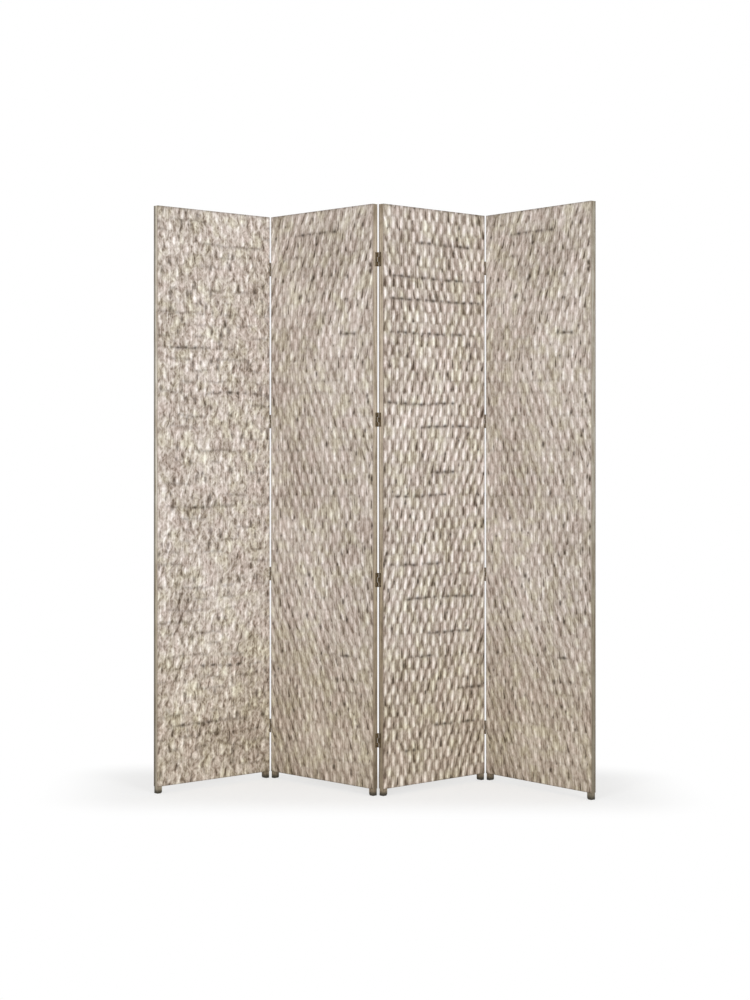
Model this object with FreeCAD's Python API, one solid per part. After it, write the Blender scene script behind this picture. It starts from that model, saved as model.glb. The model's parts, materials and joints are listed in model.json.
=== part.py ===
import FreeCAD, Part
import math
import os

# Folding screen: four tall panels, hinged edge to edge, that stand in a zigzag.
# Each panel is a slim wooden frame with a stiff woven mat glued on its front and back.
# The frame's stiles run down past the mats and stand on the floor as eight small feet.
#
# Part frame: millimetres, +Z up, -Y towards the viewer, floor at Z = 0, and the origin
# under the middle of the standing zigzag's footprint.
#
# Panel coordinates: u runs along a panel from its left end to its right end, v runs
# through it from the front mat's outer face to the back mat's outer face, z is up.
#
# Pin coordinates: x runs from the hinge pin along the panel that a leaf is screwed to,
# y runs from the pin across that panel's edge, z is up from the hinge's lower end.

# Panel sizes
panel_width = 533.4
screen_height = 2133.6
frame_depth = 17.4
mat_thickness = 4.0
mat_bevel = 1.0

# Frame sizes
stile_width = 22.0
foot_height = 25.4
foot_corner_radius = 8.0
foot_chamfer = 1.5
top_rail_height = 45.0
middle_rail_height = 38.0
bottom_rail_height = 60.0
middle_rail_count = 2
tenon_length = 16.0
tenon_thickness = 6.0
tenon_shoulder = 7.0
tenon_clearance = 0.1

# Hinge sizes: the leaf's width is taken from the pin's axis, and the closed gap is
# what a closed fold leaves between its two panels
hinge_height = 51.0
hinge_end_distance = 199.0
hinges_per_fold = 4
knuckle_count = 3
knuckle_gap = 0.4
leaf_thickness = 1.1
leaf_width = 12.7
closed_gap = 1.2
pin_radius = 1.15
pin_clearance = 0.05
pin_end = 0.6

# How the screen stands: each panel's heading in plan, in degrees from +X, and the side
# on which each fold's pins lie. A fold closes towards the side that its pins are on.
rest_headings = (41.5, -45.6, 41.9, -51.4)
fold_sides = ("front", "back", "front")

# Derived sizes
panel_thickness = frame_depth + mat_thickness + mat_thickness
knuckle_bore_radius = pin_radius + pin_clearance
barrel_radius = knuckle_bore_radius + leaf_thickness
pin_to_edge = barrel_radius
pin_to_face = closed_gap / 2
knuckle_length = (hinge_height - (knuckle_count - 1) * knuckle_gap) / knuckle_count

UP = FreeCAD.Vector(0, 0, 1)
ALONG = FreeCAD.Vector(1, 0, 0)
ACROSS = FreeCAD.Vector(0, 1, 0)
ORIGIN = FreeCAD.Vector(0, 0, 0)


def block(low, high):
    """Box between two opposite corners."""
    size = [top - bottom for bottom, top in zip(low, high)]
    return Part.makeBox(size[0], size[1], size[2], FreeCAD.Vector(*low))


def rail_levels():
    """Lowest and highest z of each rail: bottom, top, then the middle ones, evenly spaced."""
    bottom = (foot_height, foot_height + bottom_rail_height)
    top = (screen_height - top_rail_height, screen_height)
    spacing = (top[0] - bottom[1]) / (middle_rail_count + 1)
    middles = []
    for index in range(middle_rail_count):
        centre = bottom[1] + spacing * (index + 1)
        middles.append((centre - middle_rail_height / 2, centre + middle_rail_height / 2))
    return bottom, top, middles


def hinge_bases():
    """z of the lower end of each hinge on a fold, evenly spaced between the end ones."""
    first = hinge_end_distance - hinge_height / 2
    last = screen_height - hinge_end_distance - hinge_height / 2
    step = (last - first) / (hinges_per_fold - 1)
    return [first + step * index for index in range(hinges_per_fold)]


def tenon(level, u_low, u_high, clearance):
    """Block of a tenon, or of the mortise that takes it when there is a clearance."""
    v_middle = panel_thickness / 2
    half = tenon_thickness / 2 + clearance
    low = (u_low, v_middle - half, level[0] + tenon_shoulder - clearance)
    high = (u_high, v_middle + half, level[1] - tenon_shoulder + clearance)
    return block(low, high)


def left_stile():
    """Upright side of the frame, whose lower end is a foot rounded at its inner corner."""
    v_front = mat_thickness
    toe = FreeCAD.Vector(stile_width - foot_corner_radius, v_front, 0)
    heel = FreeCAD.Vector(stile_width, v_front, foot_corner_radius)
    turn = foot_corner_radius * math.sin(math.radians(45))
    knee = FreeCAD.Vector(toe.x + turn, v_front, foot_corner_radius - turn)
    outer_foot = FreeCAD.Vector(foot_chamfer, v_front, 0)
    outer_side = FreeCAD.Vector(0, v_front, foot_chamfer)
    outer_top = FreeCAD.Vector(0, v_front, screen_height)
    inner_top = FreeCAD.Vector(stile_width, v_front, screen_height)
    edges = [
        Part.LineSegment(outer_foot, toe).toShape(),
        Part.Arc(toe, knee, heel).toShape(),
        Part.LineSegment(heel, inner_top).toShape(),
        Part.LineSegment(inner_top, outer_top).toShape(),
        Part.LineSegment(outer_top, outer_side).toShape(),
        Part.LineSegment(outer_side, outer_foot).toShape(),
    ]
    stile = Part.Face(Part.Wire(edges)).extrude(ACROSS * frame_depth)
    bottom, top, middles = rail_levels()
    u_deep = stile_width - tenon_length - tenon_clearance
    mortises = [tenon(level, u_deep, stile_width, tenon_clearance)
                for level in [bottom, top] + middles]
    return stile.cut(Part.makeCompound(mortises))


def to_right_end(shape):
    """The same piece at the other end of the panel."""
    return shape.mirror(ALONG * (panel_width / 2), ALONG)


def rail(level):
    """Cross piece between the stiles, with a tenon at each end."""
    low = (stile_width, mat_thickness, level[0])
    high = (panel_width - stile_width, mat_thickness + frame_depth, level[1])
    u_low = stile_width - tenon_length
    tongue = tenon(level, u_low, panel_width - u_low, 0)
    return block(low, high).fuse(tongue).removeSplitter()


def front_mat():
    """Woven mat over the whole front of the frame, bevelled round its outer edges."""
    mat = block((0, 0, foot_height), (panel_width, mat_thickness, screen_height))
    rims = [edge for edge in mat.Edges if edge.BoundBox.YMax < mat_thickness / 2]
    return mat.makeChamfer(mat_bevel, rims)


def to_back(shape):
    """The same piece on the panel's other face."""
    return shape.mirror(ACROSS * (panel_thickness / 2), ACROSS)


def knuckle_profile():
    """Section of a leaf curled round its pin.

    The strip comes down the plate and turns three quarters round the bore, and the slit
    that it leaves beside the plate is half a bore wide, so the pin can't come out there.
    """
    inner = knuckle_bore_radius
    outer = barrel_radius
    plate_end = barrel_radius + knuckle_gap
    below = -math.sqrt(0.5)
    edges = [
        Part.Arc(ALONG * outer, (ALONG + ACROSS) * (outer * below), ACROSS * outer).toShape(),
        Part.LineSegment(ACROSS * outer, ACROSS * inner).toShape(),
        Part.Arc(ACROSS * inner, (ALONG + ACROSS) * (inner * below), ALONG * inner).toShape(),
        Part.LineSegment(ALONG * inner, ALONG * inner + ACROSS * plate_end).toShape(),
        Part.LineSegment(ALONG * inner + ACROSS * plate_end, ALONG * outer + ACROSS * plate_end).toShape(),
        Part.LineSegment(ALONG * outer + ACROSS * plate_end, ALONG * outer).toShape(),
    ]
    return Part.Face(Part.Wire(edges))


def hinge_leaf(first_knuckle):
    """One leaf: its plate, and every second knuckle from first_knuckle upwards."""
    plate_low = (knuckle_bore_radius, barrel_radius + knuckle_gap, 0)
    plate_high = (barrel_radius, leaf_width, hinge_height)
    leaf = block(plate_low, plate_high)
    profile = knuckle_profile()
    for index in range(first_knuckle, knuckle_count, 2):
        knuckle = profile.extrude(UP * knuckle_length)
        knuckle.translate(UP * (index * (knuckle_length + knuckle_gap)))
        leaf = leaf.fuse(knuckle)
    return leaf.removeSplitter()


def hinge_pin():
    """Pin through all the knuckles, standing out a little at both ends."""
    return Part.makeCylinder(pin_radius, hinge_height + pin_end + pin_end, UP * -pin_end, UP)


def at_panel_edge(shape, end, side, base):
    """Move a piece from pin coordinates to a panel's left or right end, at height base."""
    pin = pin_place(end, side)
    if end == "right":
        shape = shape.mirror(ORIGIN, ALONG)
    if side == "back":
        shape = shape.mirror(ORIGIN, ACROSS)
    shape = shape.copy()
    shape.translate(pin + UP * base)
    return shape


def pin_place(end, side):
    """Pin axis of a fold at a panel's left or right end, in panel coordinates."""
    u_place = panel_width + pin_to_edge if end == "right" else -pin_to_edge
    v_place = panel_thickness + pin_to_face if side == "back" else -pin_to_face
    return FreeCAD.Vector(u_place, v_place, 0)


def panel_placements():
    """Where each panel stands: every panel's left pins meet the last panel's right pins."""
    places = []
    base = FreeCAD.Vector(0, 0, 0)
    for index, heading in enumerate(rest_headings):
        turn = FreeCAD.Rotation(UP, heading)
        if index > 0:
            side = fold_sides[index - 1]
            shared_pin = places[-1].multVec(pin_place("right", side))
            base = shared_pin - turn.multVec(pin_place("left", side))
        places.append(FreeCAD.Placement(base, turn))
    return places


def panel_pieces(index):
    """Frame and mats of one panel, by node name, in panel coordinates."""
    name = "panel_%d_" % (index + 1)
    bottom, top, middles = rail_levels()
    stile = left_stile()
    mat = front_mat()
    return {
        name + "left_stile": stile,
        name + "right_stile": to_right_end(stile),
        name + "bottom_rail": rail(bottom),
        name + "top_rail": rail(top),
        name + "middle_rails": Part.makeCompound([rail(level) for level in middles]),
        name + "front_mat": mat,
        name + "back_mat": to_back(mat),
    }


def fold_pieces(index):
    """Hinges of one fold: the left panel's pieces, and then the right panel's."""
    side = fold_sides[index]
    name = "fold_%d_" % (index + 1)
    pin_leaf = hinge_leaf(0)
    swing_leaf = hinge_leaf(1)
    on_left = {}
    on_right = {}
    pins = []
    for count, base in enumerate(hinge_bases()):
        hinge = name + "hinge_%d_" % (count + 1)
        on_left[hinge + "pin_leaf"] = at_panel_edge(pin_leaf, "right", side, base)
        on_right[hinge + "swing_leaf"] = at_panel_edge(swing_leaf, "left", side, base)
        pins.append(at_panel_edge(hinge_pin(), "right", side, base))
    on_left[name + "pins"] = Part.makeCompound(pins)
    return on_left, on_right


def standing_screen():
    """Every node where it stands, and the pin axes, with the footprint's middle at X = Y = 0."""
    places = panel_placements()
    per_panel = [panel_pieces(index) for index in range(len(places))]
    for index in range(len(fold_sides)):
        on_left, on_right = fold_pieces(index)
        per_panel[index].update(on_left)
        per_panel[index + 1].update(on_right)
    nodes = {}
    for place, pieces in zip(places, per_panel):
        for name, shape in pieces.items():
            nodes[name] = shape.transformed(place.toMatrix(), copy=True)
    box = Part.makeCompound(list(nodes.values())).optimalBoundingBox(False, False)
    shift = FreeCAD.Vector(-(box.XMin + box.XMax) / 2, -(box.YMin + box.YMax) / 2, 0)
    for shape in nodes.values():
        shape.translate(shift)
    pins = []
    for index, side in enumerate(fold_sides):
        pins.append(places[index].multVec(pin_place("right", side)) + shift)
    return nodes, pins


def main():
    os.makedirs("parts", exist_ok=True)
    nodes, pins = standing_screen()
    for name, shape in nodes.items():
        shape.exportStep("parts/%s.step" % name)
    for index, place in enumerate(pins):
        print("fold_%d pin axis at x %.4f y %.4f" % (index + 1, place.x, place.y))
    print("%d nodes, %d solids" % (len(nodes), sum(len(s.Solids) for s in nodes.values())))


main()
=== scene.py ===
# %% [markdown]
# # A folding screen of whitewashed woven mats
# The screen has four tall panels in a zigzag. Each panel is a slim wooden frame with a stiff
# mat of plant fibre glued on its front and back, and small bronze hinges join the panels.
# The frame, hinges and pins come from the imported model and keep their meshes. This lesson
# dresses them in wood and bronze, weaves the eight mats out of numpy surfaces, adds the hinge
# screws, and lights the whole in a plain studio. Everything is in metres, with +Z up and -Y
# towards the viewer.

import json
import math
from collections import namedtuple

import bpy
import numpy as np
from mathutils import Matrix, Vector


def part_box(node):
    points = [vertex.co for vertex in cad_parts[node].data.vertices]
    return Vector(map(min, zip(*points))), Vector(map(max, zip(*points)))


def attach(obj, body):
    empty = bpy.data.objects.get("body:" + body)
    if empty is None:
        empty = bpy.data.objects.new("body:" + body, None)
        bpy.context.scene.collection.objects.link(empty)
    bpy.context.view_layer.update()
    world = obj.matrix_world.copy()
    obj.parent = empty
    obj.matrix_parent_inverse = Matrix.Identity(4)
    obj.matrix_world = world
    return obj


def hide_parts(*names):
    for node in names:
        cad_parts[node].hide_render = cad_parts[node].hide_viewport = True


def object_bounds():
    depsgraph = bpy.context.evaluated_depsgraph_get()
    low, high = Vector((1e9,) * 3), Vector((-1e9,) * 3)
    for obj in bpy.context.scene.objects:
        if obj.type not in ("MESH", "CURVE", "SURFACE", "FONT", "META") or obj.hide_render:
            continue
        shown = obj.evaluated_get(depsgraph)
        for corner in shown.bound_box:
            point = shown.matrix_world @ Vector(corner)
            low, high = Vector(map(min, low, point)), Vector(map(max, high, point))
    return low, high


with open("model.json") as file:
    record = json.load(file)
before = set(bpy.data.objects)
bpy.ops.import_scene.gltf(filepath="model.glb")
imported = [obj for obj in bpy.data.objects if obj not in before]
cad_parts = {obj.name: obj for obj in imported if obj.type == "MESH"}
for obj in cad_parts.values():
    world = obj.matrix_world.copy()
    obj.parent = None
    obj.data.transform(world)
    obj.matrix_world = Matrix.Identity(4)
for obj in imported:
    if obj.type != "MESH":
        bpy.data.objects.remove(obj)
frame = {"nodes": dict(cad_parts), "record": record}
cad_box = [list(corner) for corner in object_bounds()]

# %% [markdown]
# ## Where each panel stands
# Every panel is the same piece of joinery, only turned. If each panel gets its own
# coordinates, a mat or a screw can be worked out once and placed four times: `along` runs
# from the panel's left end to its right end, `through` from its front to its back. The two
# stiles are mirror images, so the line between the middles of their boxes runs exactly along
# the panel, whichever way it is turned. The front mat then gives the panel's corner.

# %% Panel coordinates read off the model
Panel = namedtuple("Panel", "name corner along through heading")
UP = np.array([0.0, 0.0, 1.0])
LEVEL = 1 - UP


def node_points(node):
    """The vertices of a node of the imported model, one row each."""
    mesh = frame["nodes"][node].data
    points = np.empty(len(mesh.vertices) * 3)
    mesh.vertices.foreach_get("co", points)
    return points.reshape(-1, 3)


def in_panel(panel, points):
    """Panel coordinates (along, through, up) of points given in the frame's coordinates."""
    return (points - panel.corner) @ np.array([panel.along, panel.through, UP]).T


def in_frame(panel, points):
    """The way back: a point is the corner plus its three steps along the panel's axes."""
    return panel.corner + points @ np.array([panel.along, panel.through, UP])


def box_middle(node):
    """The middle of a node's box, halfway between its lowest and highest corners."""
    low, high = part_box(node)
    return np.array((low + high) / 2, float)


def find_panel(name):
    """A panel's corner and axes, from its stiles and its front mat."""
    along = (box_middle(name + "_right_stile") - box_middle(name + "_left_stile")) * LEVEL
    along /= np.linalg.norm(along)
    through = np.cross(UP, along)
    loose = Panel(name, np.zeros(3), along, through, math.atan2(along[1], along[0]))
    lowest = in_panel(loose, node_points(name + "_front_mat")).min(axis=0)
    return loose._replace(corner=in_frame(loose, lowest * LEVEL))


panels = [find_panel("panel_%d" % number) for number in (1, 2, 3, 4)]
for panel in panels:
    degrees = round(math.degrees(panel.heading), 1)
    print(panel.name, "turned", degrees, "degrees, corner", panel.corner.round(4))

# %% [markdown]
# ## The camera
# The picture is 750 by 1000 pixels. Its verticals stay parallel, so the camera looks level and
# the picture's centre is moved by a small shift instead of a tilt. The eye point, the focal
# length in pixels and the slight turn to the left were fitted to the screen's corners.
# Blender's lens value goes with a sensor as wide as the picture's long side. A new camera
# looks straight down, and a quarter turn makes it look level.

# %% Camera
PICTURE_WIDTH, PICTURE_HEIGHT = 750, 1000
FOCAL_PIXELS = 1887.5
AXIS_PIXEL = (260.0, 456.3)
EYE = (-0.2464, -6.9715, 1.2238)
TURN_DEGREES = 1.34
QUARTER_TURN = math.radians(90)
SENSOR = 36.0

lens = bpy.data.cameras.new("view")
lens.sensor_fit = "AUTO"
lens.sensor_width = SENSOR
lens.lens = FOCAL_PIXELS * SENSOR / PICTURE_HEIGHT
lens.shift_x = (PICTURE_WIDTH / 2 - AXIS_PIXEL[0]) / PICTURE_HEIGHT
lens.shift_y = (AXIS_PIXEL[1] - PICTURE_HEIGHT / 2) / PICTURE_HEIGHT
camera = bpy.data.objects.new("camera", lens)
camera.location = EYE
camera.rotation_euler = (QUARTER_TURN, 0, math.radians(TURN_DEGREES))
bpy.context.scene.collection.objects.link(camera)
bpy.context.scene.camera = camera
bpy.context.scene.view_settings.view_transform = "Standard"
print("lens", round(lens.lens, 2), "mm, shift", round(lens.shift_x, 4), round(lens.shift_y, 4))

# %% [markdown]
# ## Small helpers for shaders
# Writing nodes by hand gets long, so a few helpers keep it readable: they add a node and set
# its inputs, link, add up, blend, and lay out a colour ramp. Effects that several finishes
# share are node groups, made once with named inputs and outputs.

# %% Nodes and links
def add(tree, kind, settings=None, **inputs):
    """A new node. settings are its properties, and inputs its sockets: values or other sockets.
    An input's name is written with underscores for its spaces."""
    node = tree.nodes.new(kind)
    for name, value in (settings or {}).items():
        setattr(node, name, value)
    for name, value in inputs.items():
        wire(tree, node, name.replace("_", " "), value)
    return node


def wire(tree, node, socket, value):
    """Sets a socket of a node, or links another socket to it. A socket goes by name or number."""
    target = node.inputs[int(socket)] if socket.isdigit() else node.inputs[socket]
    if isinstance(value, bpy.types.NodeSocket):
        tree.links.new(value, target)
    else:
        target.default_value = value


def sums(tree, operation, first, second=0.5, third=0.5):
    """The result of one Math node."""
    node = add(tree, "ShaderNodeMath", {"operation": operation})
    for place, value in enumerate((first, second, third)):
        wire(tree, node, str(place), value)
    return node.outputs[0]


def blended(tree, share, first, second, how="MIX"):
    """The colour that one Mix node makes of two, by a share from 0 to 1."""
    node = add(tree, "ShaderNodeMix", {"data_type": "RGBA", "blend_type": how})
    for place, value in (("0", share), ("6", first), ("7", second)):
        wire(tree, node, place, value)
    return node.outputs[2]


def between(tree, value, low, high, smooth=True):
    """Turns a value from low to high into 0 to 1, along a smooth curve or a straight line, and
    holds it there beyond."""
    kind = "SMOOTHSTEP" if smooth else "LINEAR"
    node = add(tree, "ShaderNodeMapRange", {"interpolation_type": kind},
               Value=value, From_Min=low, From_Max=high)
    return node.outputs["Result"]


def ramp(tree, value, stops):
    """The colour of a ramp. stops are (place, colour) pairs, from the lowest place up."""
    node = add(tree, "ShaderNodeValToRGB", Fac=value)
    band = node.color_ramp
    for place, shade in stops[1:-1]:
        band.elements.new(place).color = shade
    band.elements[0].position, band.elements[0].color = stops[0]
    band.elements[-1].position, band.elements[-1].color = stops[-1]
    return node.outputs["Color"]


print("six helpers for nodes: add, wire, sums, blended, between and ramp")

# %% Colours, groups and materials
def colour(red, green, blue):
    """A linear colour from the 0 to 255 numbers that a display takes. The display's curve is a
    straight line for the darkest values and a power of 2.4 for all others."""
    shown = np.array([red, green, blue]) / 255
    linear = np.where(shown <= 0.04045, shown / 12.92, ((shown + 0.055) / 1.055) ** 2.4)
    return (*linear.tolist(), 1.0)


def new_group(name, inputs, outputs):
    """An empty node group. inputs and outputs map the name of each socket to its type."""
    group = bpy.data.node_groups.new(name, "ShaderNodeTree")
    for direction, sockets in (("INPUT", inputs), ("OUTPUT", outputs)):
        for title, kind in sockets.items():
            group.interface.new_socket(title, in_out=direction, socket_type="NodeSocket" + kind)
    return group, group.nodes.new("NodeGroupInput").outputs, group.nodes.new("NodeGroupOutput")


def use(tree, group, **inputs):
    """A group placed in a material, with its own values."""
    return add(tree, "ShaderNodeGroup", {"node_tree": group}, **inputs)


def new_material(name, **inputs):
    """A material with an empty tree, its output, and its shader with some of its values."""
    material = bpy.data.materials.new(name)
    material.use_nodes = True
    tree = material.node_tree
    tree.nodes.clear()
    shader = add(tree, "ShaderNodeBsdfPrincipled", **inputs)
    add(tree, "ShaderNodeOutputMaterial", Surface=shader.outputs["BSDF"])
    return material, tree, shader


def relief(tree, shader, height, strength, depth):
    """Fine relief on a surface: a Bump node between a height and the shader's normal."""
    bump = add(tree, "ShaderNodeBump", Height=height, Strength=strength, Distance=depth)
    wire(tree, shader, "Normal", bump.outputs[0])


print("a display's middle grey is", round(colour(128, 128, 128)[0], 3), "in linear light")

# %% [markdown]
# ## The weave as a surface
# A mat is 26 flat strands, side by side, that run from top to bottom. Each strand passes over
# and under thin cross rods, and its neighbours do the opposite, so the bulges form a
# staggered lattice. Loose strands, one by one, would need millions of faces. One height field
# does it instead: a grid that follows the strands, so that each strand keeps its own columns
# of vertices and the crevices between strands stay sharp.
#
# The formulas, with dx and dz the distance from the middle of a bulge, in strands and rows:
# * a bulge is a drop, exp(-s^2) (1 - t) (1 + t)^0.4, and stands out or dives by turns. Here t
#   is its height from -1 to 1, and s the distance dx - lean dz from its tilted middle line,
#   over half its width there
# * a boundary between two strands swings away from the one that bulges
# * each strand adds half an ellipse over its own width, from one crevice to the next

# %% The grid of a mat
MILLIMETRE = 0.001
STRANDS = 26
ROWS = 50
SIDE_STEPS = 10
ROW_STEP_SHARES = (0, 0.07, 0.22, 0.40, 0.60, 0.78, 0.93)


def lattice():
    """Row places p, strand numbers j and shares s across a strand, for a mat's grid."""
    row = np.arange(ROWS)[:, None] + np.array(ROW_STEP_SHARES)
    strand = np.repeat(np.arange(STRANDS), SIDE_STEPS)
    share = np.tile(np.arange(SIDE_STEPS) / SIDE_STEPS, STRANDS)
    return np.append(row.ravel(), ROWS), np.append(strand, STRANDS - 1), np.append(share, 1.0)


print(STRANDS, "strands by", ROWS, "rows:", len(lattice()[0]), "by", len(lattice()[1]), "vertices")

# %% [markdown]
# Mats of hand weaving differ. `Look` holds how: how pale the mat is (0.5 is its middle tone),
# how strong the relief and its colours are, how uneven the hand was, how much fine mottling
# lies over it, and how broad its bulges are. It also holds how far they lean at six heights
# from the bottom to the top: from -1, towards the upper left as seen from the front, to 1,
# towards the upper right. Each kind of chance adds its own number to the mat's seed, so that
# one can be changed while the others stay. The front mats of panels 2 and 4 are an exception:
# they show the same weave in the photograph, so they share one seed and differ in tone.

# %% What differs from mat to mat
Look = namedtuple("Look", "seed level relief contrast unevenness mottling girth leans")
LEAN_HEIGHT_SHARES = (0.05, 0.26, 0.42, 0.58, 0.74, 0.90)
CALM = Look(seed=12, level=0.515, relief=1.0, contrast=0.58, unevenness=1.3, mottling=0.35,
            girth=1.0, leans=(-0.45, -0.6, -0.15, -0.42, -0.05, 0.6))
FRONT_LOOKS = {
    "panel_1": Look(seed=11, level=0.56, relief=0.8, contrast=0.47, unevenness=2.2, mottling=0.8,
                    girth=1.1, leans=(0.2, 0.25, 0.27, 0.15, 0.2, -0.15)),
    "panel_2": CALM,
    "panel_3": Look(seed=13, level=0.545, relief=1.2, contrast=0.79, unevenness=1.1, mottling=0.35,
                    girth=1.3, leans=(0.15, 0.25, 0.1, 0.17, 0.07, -0.15)),
    "panel_4": CALM._replace(level=0.54),
}
BACK_LOOKS = {
    "panel_1": Look(seed=21, level=0.5, relief=1.0, contrast=0.55, unevenness=1.0, mottling=0.4,
                    girth=1.2, leans=(0.3, 0.1, -0.2, -0.1, 0.2, 0.4)),
    "panel_2": Look(seed=22, level=0.53, relief=0.9, contrast=0.38, unevenness=1.5, mottling=0.7,
                    girth=1.0, leans=(-0.2, -0.3, 0.1, 0.3, 0.1, -0.3)),
    "panel_3": Look(seed=23, level=0.5, relief=1.0, contrast=0.5, unevenness=1.0, mottling=0.3,
                    girth=1.2, leans=(0.4, 0.2, 0.1, -0.3, -0.1, 0.3)),
    "panel_4": Look(seed=24, level=0.48, relief=1.1, contrast=0.6, unevenness=1.2, mottling=0.5,
                    girth=1.0, leans=(-0.3, 0.1, 0.2, 0.2, -0.1, -0.2)),
}
CHANCES = {"jitter": 0, "drops": 50, "rows": 100, "leans": 150, "strands": 200, "lines": 400,
           "dives": 450, "knots": 500, "bulges": 600, "patches": 700, "bands": 800, "seams": 900}
print(len(FRONT_LOOKS) + len(BACK_LOOKS), "mats to weave, with", len(CHANCES), "kinds of chance each")

# %% Smooth chance
def seed_for(look, kind):
    """The seed of one kind of chance on one mat."""
    return look.seed + CHANCES[kind]


def eased(share):
    """The curve 3t^2 - 2t^3, which leaves 0 and reaches 1 gently."""
    return share * share * (3 - 2 * share)


def soft_step(value, low, high):
    """0 below low, 1 above high, and eased between."""
    return eased(np.clip((value - low) / (high - low), 0, 1))


def drift(seed, x, y, cells):
    """Smooth random numbers from -1 to 1 over x and y, which run from 0 to 1.
    The corners of a grid, so many cells across and up, get random values. Between the corners
    they are blended along eased() curves."""
    across_cells, up_cells = cells
    table = np.random.default_rng(seed).uniform(-1, 1, (up_cells + 2, across_cells + 2))
    column, across = np.divmod(np.clip(x, 0, 1) * across_cells, 1)
    row, up = np.divmod(np.clip(y, 0, 1) * up_cells, 1)
    column, row = column.astype(int), row.astype(int)
    across, up = eased(across), eased(up)
    low = table[row, column] * (1 - across) + table[row, column + 1] * across
    high = table[row + 1, column] * (1 - across) + table[row + 1, column + 1] * across
    return low * (1 - up) + high * up


def by_bulge(seed, x, p):
    """A random number from -1 to 1 for every bulge, smoothly blended into its neighbours."""
    cells = (STRANDS + 1, ROWS + 1)
    return drift(seed, (x + 0.5) / (STRANDS + 1), (p + 0.5) / (ROWS + 1), cells)


print("halfway an eased step is at", eased(0.5), "and a quarter of the way at", eased(0.25))

# %% The drops of the bulges
DROP_HALF_WIDTH, DROP_HALF_LENGTH = 0.155, 0.59
DROP_TAPER, DROP_BLUNTNESS = 0.4, 0.4
DROP_PEAK = (DROP_BLUNTNESS - 1) / (DROP_BLUNTNESS + 1)
DROP_GREATEST = (1 - DROP_PEAK) * (1 + DROP_PEAK) ** DROP_BLUNTNESS
DIVE_WIDER, DIVE_WEAKER = 1.2, 0.95
MOST_LIFT, MOST_SHIFT, MOST_TILT = 0.12, 0.09, 0.25
MOST_GIRTH, MOST_STRENGTH = 0.25, 0.3
SPARE_BULGES = 2


def drops(look, x, p, leans):
    """How far a mat stands out (towards 1) or dives (towards -1) at every vertex.

    Bulge (j, k) is a drop, blunt below and pointed above. With t its height from -1 to 1 and s
    the distance from its tilted middle line over its half width (1 - taper t), the drop is
    exp(-s^2) (1 - t) (1 + t)^bluntness over its greatest value. It counts as plus where j + k
    is even. Elsewhere it is a dive, wider and weaker, and counts as minus. A vertex sums its own
    drop and the four round it. Five random numbers tilt, move and size each drop."""
    bulges = (5, STRANDS + 2 * SPARE_BULGES, ROWS + 2 * SPARE_BULGES)
    chance = look.unevenness * np.random.default_rng(seed_for(look, "drops")).uniform(-1, 1, bulges)
    total = np.zeros_like(x)
    for aside, above in ((0, 0), (1, 0), (-1, 0), (0, 1), (0, -1)):
        strand = np.floor(x).astype(int) + aside
        tier = np.floor(p).astype(int) + above
        tilt, shift, lift, girth, strength = chance[:, strand + SPARE_BULGES, tier + SPARE_BULGES]
        dives = (strand + tier) % 2 == 1
        dz = p - tier - 0.5 - MOST_LIFT * lift
        t = np.clip(dz / DROP_HALF_LENGTH, -1, 1)
        lean = np.clip(leans + MOST_TILT * tilt, -1, 1)
        half_width = DROP_HALF_WIDTH * look.girth * (1 - DROP_TAPER * t) * (1 + MOST_GIRTH * girth)
        half_width = half_width * np.where(dives, DIVE_WIDER, 1)
        s = (x - strand - 0.5 - MOST_SHIFT * shift - lean * dz) / half_width
        drop = np.exp(-s * s) * (1 - t) * (1 + t) ** DROP_BLUNTNESS / DROP_GREATEST
        total += np.where(dives, -DIVE_WEAKER, 1) * drop * (1 + MOST_STRENGTH * strength)
    return total


print("a drop stands out most at", round(DROP_PEAK, 2), "of its half length from the middle")

# %% The height field of one mat
BULGE = 0.95 * MILLIMETRE
STRAND_ROUND = 0.5 * MILLIMETRE
MIDDLE_DEPTH = 2.2 * MILLIMETRE
LEAST_DEPTH = 0.1 * MILLIMETRE
RIM_DEPTH = 1.0 * MILLIMETRE
RIM_END = 4 * MILLIMETRE
RIM_START = -RIM_END / 3
ON_THE_RIM = MILLIMETRE / 100
SWING_SHARE = 0.08
WANDER_SHARE = 0.07
JITTER_SHARE = 0.05
LEAN_DRIFT, MOST_LEAN = 0.35, 0.9
ROW_WANDER = 6 * MILLIMETRE
STEADY_RATE = 10
Weave = namedtuple("Weave", "place rise depth over groove x p leans")


def boundaries(look, pitch, row, jitter):
    """How far along the mat the edges between strands are, row by row. Edge b is at
    pitch (b - swing (-1)^b sin(pi row)), plus a little wander. The outermost two are straight."""
    edge = np.tile(np.arange(STRANDS + 1.0), (len(row), 1))
    wave = row[:, None] + jitter * by_bulge(seed_for(look, "jitter"), edge, row[:, None])
    swing = -SWING_SHARE * look.girth * np.where(edge % 2, -1, 1) * np.sin(math.pi * wave)
    up = row[:, None] / ROWS
    wander = drift(seed_for(look, "strands"), edge / STRANDS, up, cells=(STRANDS, 2 * ROWS))
    inner = (edge > 0) & (edge < STRANDS)
    return pitch * (edge + inner * (swing + WANDER_SHARE * look.unevenness * wander))


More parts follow.
